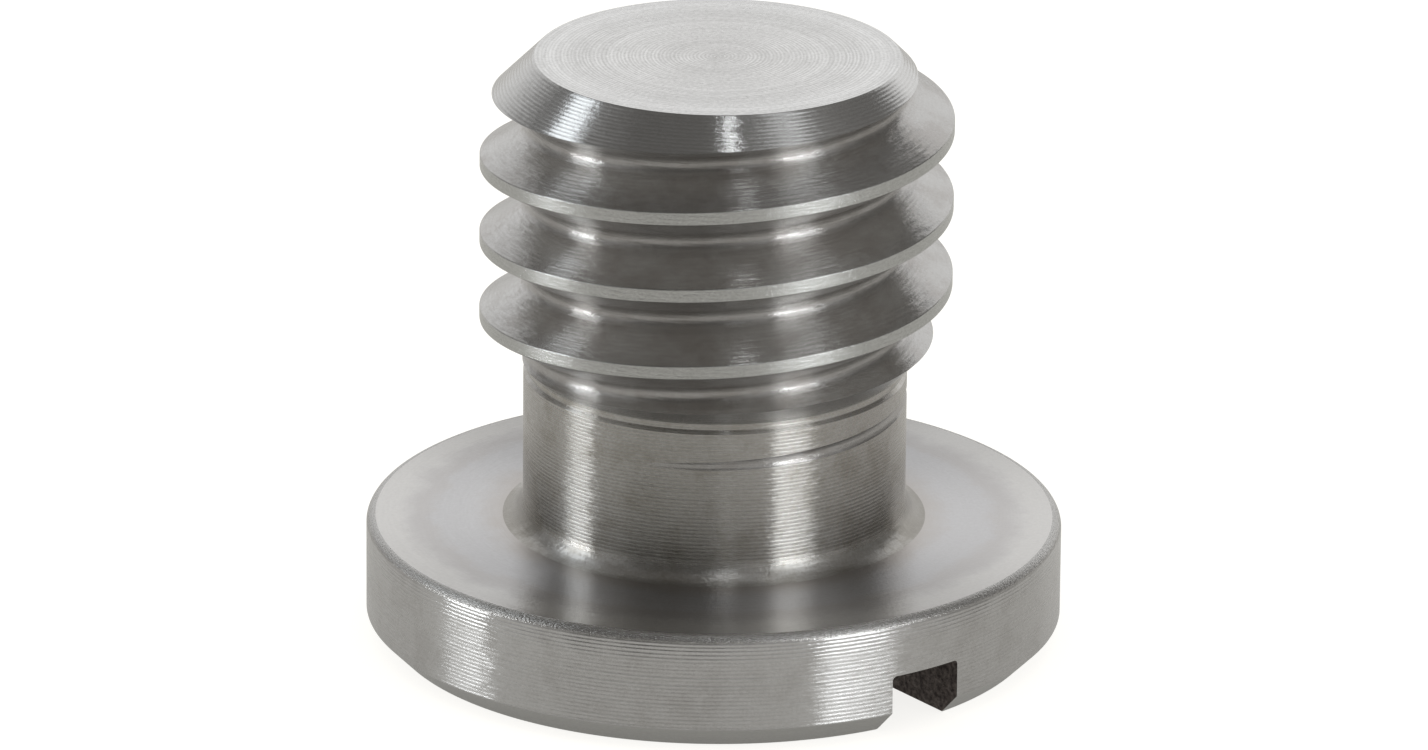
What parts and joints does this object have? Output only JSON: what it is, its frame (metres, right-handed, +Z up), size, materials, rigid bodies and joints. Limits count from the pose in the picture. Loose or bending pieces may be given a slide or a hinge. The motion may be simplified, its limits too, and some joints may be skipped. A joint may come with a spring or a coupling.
{
  "type": "camera mounting screw",
  "caption": "Short turned mounting screw: a disc head slotted across its underside, a plain shank and a coarse right-hand thread with a bevelled end.",
  "frame": {"origin": "centre of the head's underside, which the screw stands on", "axes": "+Z up the screw's axis towards the thread's end, Y along the driver slot, X across it"},
  "size_m": [0.0138, 0.0138, 0.012],
  "materials": {
    "turned_steel": "bright, with the fine rings of turning on every face"
  },
  "bodies": {
    "root": {"screw": "turned_steel"}
  },
  "joints": []
}
